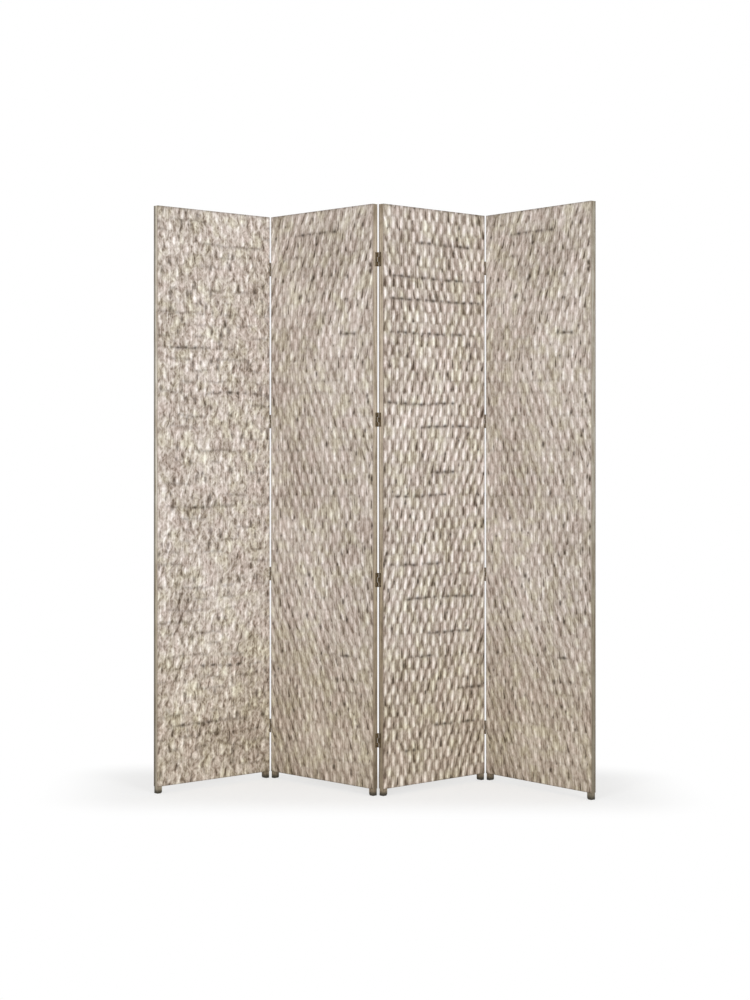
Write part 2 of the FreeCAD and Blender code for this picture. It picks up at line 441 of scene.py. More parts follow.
def weave(look, width, height):
    """The grid of one mat: every value is an array of rows by columns.

    place, rise: along and up the mat. Rows wander, but less within a tenth of either end.
    x, p: the same place, counted in strands and rows. leans: how far bulges lean there.
    over: the drops of all bulges, see drops().
    depth: middle - bulge over - round sqrt(1 - (2s - 1)^2), with s the share across a strand.
    It passes into one even depth at the rim.
    groove: (1 - sqrt(1 - (2s - 1)^2))^2, which is 1 in the crevices."""
    row, strand, share = lattice()
    flat = np.ones((len(row), len(strand)))
    up = (row / ROWS)[:, None] * flat
    jitter = JITTER_SHARE * look.unevenness
    edges = boundaries(look, width / STRANDS, row, jitter)
    left, right = edges[:, strand], edges[:, strand + 1]
    place = left + (right - left) * share
    steady = np.minimum(1, STEADY_RATE * np.minimum(up, 1 - up))
    sway = drift(seed_for(look, "rows"), place / width, up, cells=(3, 9))
    rise = row[:, None] * (height / ROWS) + ROW_WANDER * steady * sway

    x = (strand + share)[None, :] * flat
    p = row[:, None] + jitter * by_bulge(seed_for(look, "jitter"), x, row[:, None] * flat)
    turning = LEAN_DRIFT * drift(seed_for(look, "leans"), place / width, up, cells=(4, 12))
    leans = np.interp(up, LEAN_HEIGHT_SHARES, look.leans)
    leans = np.clip(leans + turning, -MOST_LEAN, MOST_LEAN)
    over = drops(look, x, p, leans)
    arch = np.sqrt(1 - (2 * share - 1) ** 2)[None, :] * flat
    depth = np.maximum(MIDDLE_DEPTH - BULGE * look.relief * over - STRAND_ROUND * arch, LEAST_DEPTH)
    from_rim = np.minimum(np.minimum(place, width - place), np.minimum(rise, height - rise))
    full = soft_step(from_rim, RIM_START, RIM_END) * (from_rim > ON_THE_RIM)
    depth = RIM_DEPTH + (depth - RIM_DEPTH) * full
    return Weave(place, rise, depth, over, (1 - arch) ** 2, x, p, leans)


print("bulges of", BULGE / MILLIMETRE, "mm on strands that are", STRAND_ROUND / MILLIMETRE, "mm round")

# %% [markdown]
# Age has marked the mats, and painted shade is added. Where two rows part over a cross rod
# there is a broken dark line of painted shade, and other seams between rows have taken some
# stain. Dark knots sit where strands dive, and single bulges are cleaner or dirtier than their
# neighbours. These are worked out as values per vertex and read by the material. A line is
# given by its share of the height, down from the top, and the shares of the width it spans.

# %% Dark lines and seams
# Each line below is painted shade where two rows part.
CALM_LINES = ((0.040, 0.24, 0.66), (0.215, 0.70, 0.84), (0.788, 0.68, 0.88))
DARK_LINES = {
    "panel_1": ((0.245, 0.10, 0.55), (0.31, 0.40, 0.95), (0.52, 0.15, 0.60), (0.80, 0.30, 0.75),
                (0.90, 0.15, 0.60)),
    "panel_2": CALM_LINES,
    "panel_3": ((0.055, 0.30, 0.85), (0.110, 0.08, 0.95), (0.168, 0.05, 0.95), (0.226, 0.05, 0.90),
                (0.337, 0.03, 0.70), (0.386, 0.35, 0.95), (0.453, 0.44, 0.70), (0.508, 0.10, 0.62),
                (0.620, 0.03, 0.60), (0.675, 0.20, 0.90), (0.736, 0.42, 0.86), (0.779, 0.23, 0.48),
                (0.840, 0.72, 0.97), (0.900, 0.48, 0.90), (0.940, 0.20, 0.34)),
    "panel_4": CALM_LINES,
}
LINE_THICKNESS = 4.5 * MILLIMETRE
THIN_SHARE, DOT_SWELL = 0.8, 0.8
# The strength of the lines of painted shade, thin and at their dots, broken and whole.
THIN_SHADE, DOT_SHADE = 0.55, 0.45
BROKEN_SHADE, WHOLE_SHADE = 0.2, 0.8
BROKEN_CHANCES = (-0.6, 0.1)
LINE_OUTSIDE, LINE_INSIDE = 0.01, 0.02
SEAM_STAIN = 0.5
SEAM_CHANCES = (0.05, 0.6)


def line_stain(look, number, line, woven, along, row_pitch):
    """One broken line of painted shade between two rows, exp(-(distance / thickness)^2). It has
    dots, cos(pi/2 (x - 0.5 - row))^4, so it is thicker and darker on every second strand."""
    down, start, end = line
    row = round((1 - down) * ROWS)
    dots = np.cos(math.pi / 2 * (woven.x - 0.5 - row)) ** 4
    thickness = LINE_THICKNESS * (THIN_SHARE + DOT_SWELL * dots)
    darkening = np.exp(-((woven.p * row_pitch - row * row_pitch) / thickness) ** 2)
    pieces = drift(seed_for(look, "lines") + number, along, 0.0, cells=(34, 1))
    whole = soft_step(pieces, *BROKEN_CHANCES)
    ends = soft_step(along, start - LINE_OUTSIDE, start + LINE_INSIDE)
    ends = ends * soft_step(-along, -end - LINE_OUTSIDE, -end + LINE_INSIDE)
    return darkening * ends * (THIN_SHADE + DOT_SHADE * dots) * (BROKEN_SHADE + WHOLE_SHADE * whole)


def seam_stain(look, woven, along, row_pitch):
    """Stain in some stretches of all seams, exp(-(distance / thickness)^2). A mottled mat
    has more of it."""
    nearest = np.round(woven.p)
    seam = np.exp(-((woven.p - nearest) * row_pitch / LINE_THICKNESS) ** 2)
    stretches = drift(seed_for(look, "seams"), along, nearest / ROWS, cells=(8, ROWS))
    return SEAM_STAIN * look.mottling * seam * soft_step(stretches, *SEAM_CHANCES)


print(sum(len(lines) for lines in DARK_LINES.values()), "dark lines")

# %% Dives, knots and dirt
DIVE_STAIN = 0.8
DIVE_DEPTHS = (0.3, 0.9)
DIVE_CHANCES = (0.1, 0.7)
KNOTS = 230
KNOT_SIZE = 5.0 * MILLIMETRE
KNOT_SIZE_START = 0.65
KNOT_SHARES = (0.35, 1.1)
KNOT_TALLNESS = 1.6
KNOT_BLUNTNESS = 1.6
KNOT_DEPTHS = (-0.7, 0.2)
SOFT_START, SOFT_SLOPE = 1.15, 0.6
RIM_STAIN = 0.55
RIM_STAIN_WIDTH = 3.5 * MILLIMETRE
BOTTOM_NARROWER = 2


def dive_stain(look, woven):
    """Stain where a strand dives, on some bulges only."""
    chosen = soft_step(by_bulge(seed_for(look, "dives"), woven.x, woven.p), *DIVE_CHANCES)
    return DIVE_STAIN * soft_step(-woven.over, *DIVE_DEPTHS) * chosen


def knot_stain(look, woven, width, height):
    """Dark knots at random places, each min(1, bluntness exp(-sideways^2 - upwards^2)), kept
    only where the strands aren't on top. A mottled mat has larger ones."""
    chance = np.random.default_rng(seed_for(look, "knots"))
    smallest, largest = KNOT_SHARES
    draws = chance.uniform((0, 0, smallest), (width, height, largest), (KNOTS, 3))
    mean_size = KNOT_SIZE * (KNOT_SIZE_START + look.mottling)
    darkening = np.zeros_like(woven.place)
    for x, y, share in draws:
        sideways = (woven.place - x) / (share * mean_size)
        upwards = (woven.rise - y) / (share * mean_size * KNOT_TALLNESS)
        darkening = np.maximum(darkening, KNOT_BLUNTNESS * np.exp(-sideways ** 2 - upwards ** 2))
    return np.minimum(1, darkening) * soft_step(-woven.over, *KNOT_DEPTHS)


def end_stain(woven, height):
    """Dirt along the mat's top and bottom, exp(-distance / width), narrower at the bottom."""
    from_end = np.minimum(woven.rise * BOTTOM_NARROWER, height - woven.rise)
    return RIM_STAIN * np.exp(-from_end / RIM_STAIN_WIDTH)


def stains(look, lines, woven, width, height):
    """How dark each vertex is, from 0 to 1: the strongest of all marks at that place, both the
    stains and the lines of painted shade. Dives and knots are softened on a mottled mat."""
    along, row_pitch = woven.place / width, height / ROWS
    softened = SOFT_START - SOFT_SLOPE * look.mottling
    marks = [line_stain(look, number, line, woven, along, row_pitch) for number, line in enumerate(lines)]
    marks.append(seam_stain(look, woven, along, row_pitch))
    marks.append(softened * dive_stain(look, woven))
    marks.append(softened * knot_stain(look, woven, width, height))
    marks.append(end_stain(woven, height))
    return np.max(marks, axis=0)


print(KNOTS, "knots a mat, about", KNOT_SIZE / MILLIMETRE, "mm in size")

# %% Slow changes of tone
BULGE_TONE, PATCH_TONE, BAND_TONE, SIDE_TONE = 0.7, 0.6, 0.5, 0.25
SIDE_TONE_WIDTH = 7 * MILLIMETRE


def soiling(look, woven, width, height):
    """Changes of tone, about -1 to 1: by bulge, in patches and in level bands, less a darker
    strip along both sides, exp(-distance / width)."""
    across, up = woven.place / width, woven.rise / height
    bulges = by_bulge(seed_for(look, "bulges"), woven.x, woven.p)
    patches = drift(seed_for(look, "patches"), across, up, cells=(5, 14))
    bands = drift(seed_for(look, "bands"), across, up, cells=(7, 110))
    sides = np.exp(-np.minimum(woven.place, width - woven.place) / SIDE_TONE_WIDTH)
    tone = BULGE_TONE * bulges + PATCH_TONE * patches + BAND_TONE * look.mottling * bands
    return tone - SIDE_TONE * sides


print("tones differ by", BULGE_TONE, "from bulge to bulge and by", PATCH_TONE, "from patch to patch")

# %% [markdown]
# A mat is a closed body: the woven front, flat cut ends round its outline, and a plain side
# that is glued to the frame. The grid's own rows close the two long sides, and one flat face
# closes each short end, so there is no open seam.

# %% From arrays to pieces
def grid_faces(grid):
    """The faces between neighbouring rows and columns of a grid of vertex numbers."""
    corners = [grid[:-1, :-1], grid[:-1, 1:], grid[1:, 1:], grid[1:, :-1]]
    return np.stack(corners, axis=-1).reshape(-1, 4)


def build_mesh(name, points, loops, sizes, smooth):
    """A mesh from points, the corners of its faces one after another, each face's size, and
    which faces are smooth."""
    mesh = bpy.data.meshes.new(name)
    mesh.vertices.add(len(points))
    mesh.vertices.foreach_set("co", points.astype(np.float32).ravel())
    mesh.loops.add(len(loops))
    mesh.loops.foreach_set("vertex_index", loops.astype(np.int32))
    mesh.polygons.add(len(sizes))
    mesh.polygons.foreach_set("loop_start", np.concatenate([[0], np.cumsum(sizes)[:-1]]).astype(np.int32))
    mesh.polygons.foreach_set("use_smooth", np.broadcast_to(smooth, len(sizes)))
    mesh.update(calc_edges=True)
    mesh.validate()
    return mesh


def place_piece(mesh, material, body):
    """An object for a finished mesh, dressed and riding on a body."""
    mesh.materials.append(material)
    piece = bpy.data.objects.new(mesh.name, mesh)
    bpy.context.scene.collection.objects.link(piece)
    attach(piece, body)
    return piece


print("a grid of 3 by 3 vertices has", len(grid_faces(np.arange(9).reshape(3, 3))), "faces")

# %% Mesh of one mat
STREAK_SLANT = 0.35


def mat_mesh(name, woven, panel, low, high, facing_back):
    """The closed mesh of a mat in a box of its panel. A woven vertex is at (place, depth in
    from the face, rise), and two columns of vertices a thickness in make the glued side."""
    width, thickness, _ = high - low
    rows, columns = woven.place.shape
    inward = -1 if facing_back else 1
    face = high[1] if facing_back else low[1]
    front = np.stack([low[0] + woven.place, face + inward * woven.depth, low[2] + woven.rise], axis=-1)
    glued = np.full(rows, face + inward * thickness)
    rear = np.zeros((rows, 2, 3))
    rear[:, 0] = np.stack([np.full(rows, low[0]), glued, low[2] + woven.rise[:, 0]], axis=-1)
    rear[:, 1] = rear[:, 0] + (width, 0, 0)
    points = np.concatenate([front.reshape(-1, 3), rear.reshape(-1, 3)])

    grid = np.arange(rows * columns).reshape(rows, columns)
    back = rows * columns + np.arange(rows * 2).reshape(rows, 2)
    left_side = np.stack([back[:, 0], grid[:, 0]], axis=1)
    right_side = np.stack([grid[:, -1], back[:, 1]], axis=1)
    quads = np.concatenate([grid_faces(part) for part in (grid, back[:, ::-1], left_side, right_side)])
    ends = [np.concatenate([back[0], grid[0, ::-1]]), np.concatenate([back[-1, ::-1], grid[-1]])]
    if facing_back:
        quads, ends = quads[:, ::-1], [end[::-1] for end in ends]
    loops = np.concatenate([quads.ravel(), *ends])
    sizes = np.concatenate([np.full(len(quads), 4), [len(end) for end in ends]])
    woven_faces = (rows - 1) * (columns - 1)
    return build_mesh(name, in_frame(panel, points), loops, sizes, np.arange(len(sizes)) < woven_faces)


def carry(mesh, title, front, rear):
    """A value per vertex: the front's own values, and one for the whole glued side."""
    values = np.full(len(mesh.vertices), rear, np.float32)
    values[:front.size] = front.ravel()
    mesh.attributes.new(title, "FLOAT", "POINT").data.foreach_set("value", values)


def lay_chart(mesh, woven, width):
    """The map that the fibre follows: (across, rise), where across is taken from the strands,
    less a share of the leans, added up from the bottom to that height."""
    climb = np.gradient(woven.rise[:, :1], axis=0) * woven.leans.mean(axis=1, keepdims=True)
    across = woven.x / STRANDS * width - STREAK_SLANT * np.cumsum(climb, axis=0)
    front = np.stack([across, woven.rise], axis=-1).reshape(-1, 2)
    rear = np.stack(np.broadcast_arrays([0, width], woven.rise[:, :1]), axis=-1).reshape(-1, 2)
    corners = np.empty(len(mesh.loops), np.int32)
    mesh.loops.foreach_get("vertex_index", corners)
    flat = np.concatenate([front, rear])[corners]
    mesh.uv_layers.new(name="strands").data.foreach_set("uv", flat.astype(np.float32).ravel())


print("the streaks' lean is", STREAK_SLANT, "of the bulges' lean")

# %% [markdown]
# ## Shared effects
# Fibre runs along every strand and along the wood, so one group makes both: noise stretched
# along one axis. The whitewash is also shared: a coarser noise says where it is thin, and
# there the dark stain below comes through.

# %% Group: fibre
STREAK_NOISE = (0.3, 0.7)

fibre, given, result = new_group(
    "fibre", {"Vector": "Vector", "Across": "Float", "Along": "Float"},
    {"Streak": "Float", "Fine": "Float"})
stretch = add(fibre, "ShaderNodeCombineXYZ", X=given["Across"], Y=given["Across"], Z=given["Along"])
drawn = add(fibre, "ShaderNodeVectorMath", {"operation": "MULTIPLY"})
wire(fibre, drawn, "0", given["Vector"])
wire(fibre, drawn, "1", stretch.outputs[0])
coarse = add(fibre, "ShaderNodeTexNoise", Vector=drawn.outputs[0], Scale=0.45, Detail=2.0, Roughness=0.6)
fine = add(fibre, "ShaderNodeTexNoise", Vector=drawn.outputs[0], Scale=1.6, Detail=2.0, Roughness=0.55)
wire(fibre, result, "Streak", between(fibre, coarse.outputs["Fac"], *STREAK_NOISE))
wire(fibre, result, "Fine", fine.outputs["Fac"])
print("group", fibre.name, "with", len(fibre.nodes), "nodes")

# %% Group: whitewash over stain
WEAR_CONTRAST = 2.5
STAIN_ROUGHNESS, WASH_ROUGHER = 0.66, 0.18

whitewash, given, result = new_group(
    "whitewash", {"Vector": "Vector", "Cover": "Float", "Rubbed": "Float", "Scale": "Float",
                  "Stain": "Color", "Wash": "Color"}, {"Color": "Color", "Roughness": "Float"})
patchy = add(whitewash, "ShaderNodeTexNoise", Vector=given["Vector"], Scale=given["Scale"],
             Detail=5.0, Roughness=0.65)
wear = sums(whitewash, "SUBTRACT", patchy.outputs["Fac"], 0.5)
wear = sums(whitewash, "MULTIPLY", wear, given["Rubbed"])
covered = sums(whitewash, "ADD", given["Cover"], sums(whitewash, "MULTIPLY", wear, WEAR_CONTRAST))
covered = between(whitewash, covered, 0.0, 1.0, smooth=False)
wire(whitewash, result, "Color", blended(whitewash, covered, given["Stain"], given["Wash"]))
rougher = sums(whitewash, "MULTIPLY_ADD", covered, WASH_ROUGHER, STAIN_ROUGHNESS)
wire(whitewash, result, "Roughness", rougher)
print("group", whitewash.name, "with", len(whitewash.nodes), "nodes")

# %% [markdown]
# The mats also carry a fine mottling: pale strokes that cross each other, with small dark
# spots left between them. The higher of two stretched noises, one turned to the left and one
# to the right, gives exactly that. A step aside keeps the two from being the same noise.

# %% Group: crossed strokes
STROKE_NOISE = (0.25, 0.75)
ASIDE = (7, 3)

strokes, given, result = new_group(
    "crossed strokes", {"Vector": "Vector", "Across": "Float", "Along": "Float", "Slant": "Float"},
    {"Value": "Float"})
shares = []
for turn in (1.0, -1.0):
    angle = sums(strokes, "MULTIPLY", given["Slant"], turn)
    swung = add(strokes, "ShaderNodeVectorRotate", {"rotation_type": "Z_AXIS"},
                Vector=given["Vector"], Angle=angle)
    stretch = add(strokes, "ShaderNodeCombineXYZ", X=given["Across"], Y=given["Along"], Z=1.0)
    drawn = add(strokes, "ShaderNodeVectorMath", {"operation": "MULTIPLY_ADD"})
    wire(strokes, drawn, "0", swung.outputs[0])
    wire(strokes, drawn, "1", stretch.outputs[0])
    wire(strokes, drawn, "2", (turn * ASIDE[0], turn * ASIDE[1], 0))
    noise = add(strokes, "ShaderNodeTexNoise", Vector=drawn.outputs[0],
                Scale=1.0, Detail=1.0, Roughness=0.5)
    shares.append(between(strokes, noise.outputs["Fac"], *STROKE_NOISE))
wire(strokes, result, "Value", sums(strokes, "MAXIMUM", *shares))
print("group", strokes.name, "with", len(strokes.nodes), "nodes")

# %% [markdown]
# ## The finish of the mats
# Seen from a step away the mats are a pale warm grey. Close up each bulge is paler on its
# crest, greyer down its sides and brown where it dives. The stain went on first and the
# whitewash was brushed over the high places, so the colour follows the lobes of the weave,
# which the mesh carries as a value per vertex. That value also carries a painted highlight on
# each crest and painted shade down the sides and in the dives. Streaks of fibre and the crossed
# strokes shift the same value, painted shade lowers it in the crevices, and towards the floor
# the mats get browner.

# %% Mat material
# The levels that this ramp turns into colours hold painted highlights and painted shade as well as the
# whitewash.
MAT_TONES = ((0.0, colour(88, 74, 62)), (0.25, colour(143, 130, 118)), (0.5, colour(191, 180, 170)),
             (0.75, colour(226, 218, 211)), (1.0, colour(253, 249, 245)))
HUES = ((0.35, (0.98, 0.995, 0.91, 1)), (0.5, (1.0, 1.0, 1.0, 1)), (0.65, (1.0, 0.965, 0.975, 1)))
HUE_SCALE = 16.0
STAIN = colour(118, 103, 86)
# SPOT is the colour of the dark stains and of the lines of painted shade.
SPOT = colour(60, 49, 38)
SPOT_STRENGTH = 0.95
LOW_TINT = (0.97, 0.95, 0.885, 1.0)
LOW_DROP = 0.055
LOW_END, LOW_START = 0.15, 0.78
# GROOVE_PAINTED_SHADE is how much painted shade lies in the crevices between strands.
TONE_AMOUNT, STREAK_AMOUNT, GROOVE_PAINTED_SHADE = 0.13, 0.18, 0.38
MOTTLE_AMOUNT, MOTTLE_MEAN = 0.55, 0.62
CHART_TURN = (QUARTER_TURN, 0, 0)


def attribute(tree, name):
    """A value that the mesh carries per vertex."""
    return add(tree, "ShaderNodeAttribute", {"attribute_name": name}).outputs["Fac"]


def mat_level(tree, chart, strands, low):
    """How pale a place is: its lobe, plus tone, streaks and mottling, less painted shade in the
    grooves and less the low part's drop, each times its own amount."""
    crossed = use(tree, strokes, Vector=chart, Across=90.0, Along=40.0, Slant=0.75)
    level = sums(tree, "MULTIPLY_ADD", attribute(tree, "tone"), TONE_AMOUNT, attribute(tree, "lobe"))
    streak = sums(tree, "SUBTRACT", strands.outputs["Streak"], 0.5)
    level = sums(tree, "MULTIPLY_ADD", streak, STREAK_AMOUNT, level)
    mottle = sums(tree, "SUBTRACT", crossed.outputs["Value"], MOTTLE_MEAN)
    mottle = sums(tree, "MULTIPLY", mottle, attribute(tree, "mottle"))
    level = sums(tree, "MULTIPLY_ADD", mottle, MOTTLE_AMOUNT, level)
    level = sums(tree, "MULTIPLY_ADD", attribute(tree, "groove"), -GROOVE_PAINTED_SHADE, level)
    return sums(tree, "MULTIPLY_ADD", low, -LOW_DROP, level)


def mat_material():
    """A ramp turns levels into colours, whitewash lies over them, and dark marks, both stains
    and painted shade, go on top. The chart is turned up for the fibre, which runs along Z."""
    material, tree, shader = new_material("woven_mat", Specular_IOR_Level=0.25)
    chart = add(tree, "ShaderNodeUVMap", {"uv_map": "strands"}).outputs["UV"]
    spot = add(tree, "ShaderNodeTexCoord").outputs["Object"]
    turned = add(tree, "ShaderNodeMapping", Vector=chart, Rotation=CHART_TURN)
    strands = use(tree, fibre, Vector=turned.outputs[0], Across=420.0, Along=60.0)
    height = add(tree, "ShaderNodeSeparateXYZ", Vector=spot).outputs["Z"]
    low = sums(tree, "SUBTRACT", 1.0, between(tree, height, LOW_END, LOW_START))
    tone = ramp(tree, mat_level(tree, chart, strands, low), MAT_TONES)
    patches = add(tree, "ShaderNodeTexNoise", Vector=spot, Scale=HUE_SCALE, Detail=3.0).outputs["Fac"]
    tint = blended(tree, 1.0, tone, ramp(tree, patches, HUES), "MULTIPLY")
    washed = use(tree, whitewash, Vector=spot, Cover=0.92, Rubbed=0.25, Scale=90.0,
                 Stain=STAIN, Wash=tint)
    marks = sums(tree, "MULTIPLY", attribute(tree, "dark"), SPOT_STRENGTH)
    marked = blended(tree, marks, washed.outputs["Color"], SPOT)
    browned = blended(tree, 1.0, marked, LOW_TINT, "MULTIPLY")
    wire(tree, shader, "Base Color", blended(tree, low, marked, browned))
    wire(tree, shader, "Roughness", washed.outputs["Roughness"])
    relief(tree, shader, strands.outputs["Fine"], strength=0.35, depth=0.0006)
    return material


woven_mat = mat_material()
print("material", woven_mat.name, "with", len(woven_mat.node_tree.nodes), "nodes")

# %% Weave the eight mats
LOBE_SHARE = 0.5
# The cut edges and glued side take one lobe and one dark value. On the back mats these are painted shade,
# which darkens their cut edges.
CUT_LOBES = {"front": 0.4, "back": 0.1}
CUT_STAIN_AND_SHADE = {"front": 0.15, "back": 0.6}


def make_mat(panel, side, look, lines):
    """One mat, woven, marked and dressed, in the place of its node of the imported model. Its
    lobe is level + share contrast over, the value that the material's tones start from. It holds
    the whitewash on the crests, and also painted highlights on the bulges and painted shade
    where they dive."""
    node = panel.name + "_" + side + "_mat"
    points = in_panel(panel, node_points(node))
    low, high = points.min(axis=0), points.max(axis=0)
    width, _, height = high - low
    woven = weave(look, width, height)
    mesh = mat_mesh(panel.name + "_" + side + "_weave", woven, panel, low, high, side == "back")
    # The lobe is whitewash on the crests, plus a painted highlight on each bulge and painted shade where
    # it dives.
    carry(mesh, "lobe", look.level + LOBE_SHARE * look.contrast * woven.over, CUT_LOBES[side])
    # The groove mask places painted shade in the crevices.
    carry(mesh, "groove", look.contrast * woven.groove, 0.0)
    # The dark value holds the stains and the painted shade of the lines and of a back mat's cut edges.
    carry(mesh, "dark", stains(look, lines, woven, width, height), CUT_STAIN_AND_SHADE[side])
    carry(mesh, "tone", soiling(look, woven, width, height), 0.0)
    carry(mesh, "mottle", np.full_like(woven.place, look.mottling), look.mottling)
    lay_chart(mesh, woven, width)
    piece = place_piece(mesh, woven_mat, panel.name)
    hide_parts(node)
    print(piece.name, len(mesh.vertices), "vertices,", len(mesh.polygons), "faces")


for panel in panels:
    make_mat(panel, "front", FRONT_LOOKS[panel.name], DARK_LINES[panel.name])
    make_mat(panel, "back", BACK_LOOKS[panel.name], ())

# %% [markdown]
# ## The wooden frames
# Only the edges of the frames show: smooth sawn wood with a thin olive-grey wash. Stiles have
# their grain upright and rails along the panel, so a rail's coordinates are first turned
# level by a Mapping node. The wood gets darker and browner towards the feet and at the top,
# with painted shade where the feet meet the floor, and the two outermost stiles are greyer
# than the ones between the panels. The left one gets painted light along its front edge and
# painted shade further back.

# %% Frame wood
BARE_WOOD = colour(120, 105, 84)
WOOD_WASH = colour(208, 197, 181)
OUTER_WASH = colour(182, 179, 168)
COVER_LEAST, COVER_SPAN = 0.3, 0.8
WOOD_SHADES = ((0.0, (0.46, 0.42, 0.36, 1)), (0.2, (0.54, 0.49, 0.42, 1)), (0.33, (0.62, 0.57, 0.49, 1)),
               (0.5, (0.78, 0.75, 0.71, 1)), (0.65, (0.85, 0.82, 0.79, 1)), (0.88, (0.85, 0.82, 0.79, 1)),
               (1.0, (0.68, 0.64, 0.58, 1)))
# Painted light near the front of a stile and painted shade behind it.
PAINTED_FRONT_LIGHT = (1.6, 1.6, 1.65, 1.0)
PAINTED_BACK_SHADE = (0.68, 0.72, 0.76, 1.0)
PAINTED_SHADE_START, PAINTED_SHADE_END = 12.5 * MILLIMETRE, 16.5 * MILLIMETRE
# Painted shade on the feet where they meet the floor.
FOOT_PAINTED_SHADE = colour(62, 58, 48)
FOOT_LOW, FOOT_HIGH = 0.004, 0.021
SCREEN_TOP = max(corner[2] for corner in cad_box)


def brushed_shade(tree, spot, panel):
    """Painted light and shade by the distance from the panel's front: painted light near it and
    painted shade behind.
    """
    through = add(tree, "ShaderNodeVectorMath", {"operation": "DOT_PRODUCT"})
    wire(tree, through, "0", spot)
    wire(tree, through, "1", panel.through)
    front = float(panel.corner @ panel.through)
    behind = between(tree, through.outputs["Value"], front + PAINTED_SHADE_START, front + PAINTED_SHADE_END)
    return blended(tree, behind, PAINTED_FRONT_LIGHT, PAINTED_BACK_SHADE)


def frame_material(name, turn, wash=WOOD_WASH, painted_light_on=None):
    """Washed wood whose grain runs along Z after a turn of the coordinates. It has painted
    shade where it meets the floor, and a panel's painted front light and back shade lie over it
    if one is given."""
    material, tree, shader = new_material(name, Specular_IOR_Level=0.3)
    spot = add(tree, "ShaderNodeTexCoord").outputs["Object"]
    grained = add(tree, "ShaderNodeMapping", Vector=spot, Rotation=turn)
    grain = use(tree, fibre, Vector=grained.outputs[0], Across=420.0, Along=14.0)
    cover = sums(tree, "MULTIPLY_ADD", grain.outputs["Streak"], COVER_SPAN, COVER_LEAST)
    washed = use(tree, whitewash, Vector=spot, Cover=cover, Rubbed=0.5, Scale=35.0,
                 Stain=BARE_WOOD, Wash=wash)
    height = add(tree, "ShaderNodeSeparateXYZ", Vector=spot).outputs["Z"]
    shade = ramp(tree, between(tree, height, 0.0, SCREEN_TOP, smooth=False), WOOD_SHADES)
    aged = blended(tree, 1.0, washed.outputs["Color"], shade, "MULTIPLY")
    # Painted light on the front edge and painted shade behind it, for one panel's stile.
    if painted_light_on:
        aged = blended(tree, 1.0, aged, brushed_shade(tree, spot, painted_light_on), "MULTIPLY")
    # Painted shade from the floor up to FOOT_HIGH.
    above_foot = between(tree, height, FOOT_LOW, FOOT_HIGH)
    wire(tree, shader, "Base Color", blended(tree, above_foot, FOOT_PAINTED_SHADE, aged))
    wire(tree, shader, "Roughness", washed.outputs["Roughness"])
    relief(tree, shader, grain.outputs["Fine"], strength=0.3, depth=0.0004)
    return material


print("frame wood from the floor to", round(SCREEN_TOP, 4), "m")

# %% Dress the frames
UPRIGHT = (0, 0, 0)


def dress(node, material):
    """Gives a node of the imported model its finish."""
    materials = frame["nodes"][node].data.materials
    materials.clear()
    materials.append(material)


upright = frame_material("frame_wood_upright", UPRIGHT)
for panel in panels:
    lying = (0, -QUARTER_TURN, -panel.heading)
    level = frame_material("frame_wood_level_" + panel.name[-1], lying)
    for part in ("_left_stile", "_right_stile"):
        dress(panel.name + part, upright)
    for part in ("_bottom_rail", "_top_rail", "_middle_rails"):
        dress(panel.name + part, level)
# The left outer stile gets painted light along its front edge and painted shade behind.
dress("panel_1_left_stile", frame_material("frame_wood_brushed", UPRIGHT, OUTER_WASH, panels[0]))
dress("panel_4_right_stile", frame_material("frame_wood_outer", UPRIGHT, OUTER_WASH))
print(len(panels), "frames dressed")

# %% [markdown]
# ## Hinges
# The hinges are antique bronze: dark brown, and rubbed to a dull gold in clouds that cover
# the least of the leaves and the most of the pins, whose ends are handled. Leaves, pins and
# screws share one group and differ only in how much they are rubbed.

# %% Group: old bronze
SHINE_START, SHINE_END = 0.45, 1.05
DULL_ROUGHNESS, SHINE_SMOOTHER = 0.56, 0.18

bronze, given, result = new_group(
    "old bronze", {"Vector": "Vector", "Rubbed": "Float", "Dark": "Color", "Bright": "Color"},
    {"Color": "Color", "Roughness": "Float", "Grain": "Float"})
cloud = add(bronze, "ShaderNodeTexNoise", Vector=given["Vector"], Scale=160.0, Detail=4.0, Roughness=0.6)
speck = add(bronze, "ShaderNodeTexNoise", Vector=given["Vector"], Scale=1400.0, Detail=2.0, Roughness=0.5)
shine = sums(bronze, "ADD", cloud.outputs["Fac"], given["Rubbed"])
shine = between(bronze, shine, SHINE_START, SHINE_END)
wire(bronze, result, "Color", blended(bronze, shine, given["Dark"], given["Bright"]))
smoother = sums(bronze, "MULTIPLY_ADD", shine, -SHINE_SMOOTHER, DULL_ROUGHNESS)
wire(bronze, result, "Roughness", smoother)
wire(bronze, result, "Grain", speck.outputs["Fac"])
print("group", bronze.name, "with", len(bronze.nodes), "nodes")

# %% Bronze materials
BRONZE_DARK = colour(74, 61, 42)
BRONZE_BRIGHT = colour(124, 104, 73)


def bronze_material(name, rubbed):
    """Old bronze, brighter and smoother the more it is rubbed, with a fine grain."""
    material, tree, shader = new_material(name, Metallic=0.35)
    spot = add(tree, "ShaderNodeTexCoord").outputs["Object"]
    aged = use(tree, bronze, Vector=spot, Rubbed=rubbed, Dark=BRONZE_DARK, Bright=BRONZE_BRIGHT)
    wire(tree, shader, "Base Color", aged.outputs["Color"])
    wire(tree, shader, "Roughness", aged.outputs["Roughness"])
    relief(tree, shader, aged.outputs["Grain"], strength=0.15, depth=0.0002)
    return material


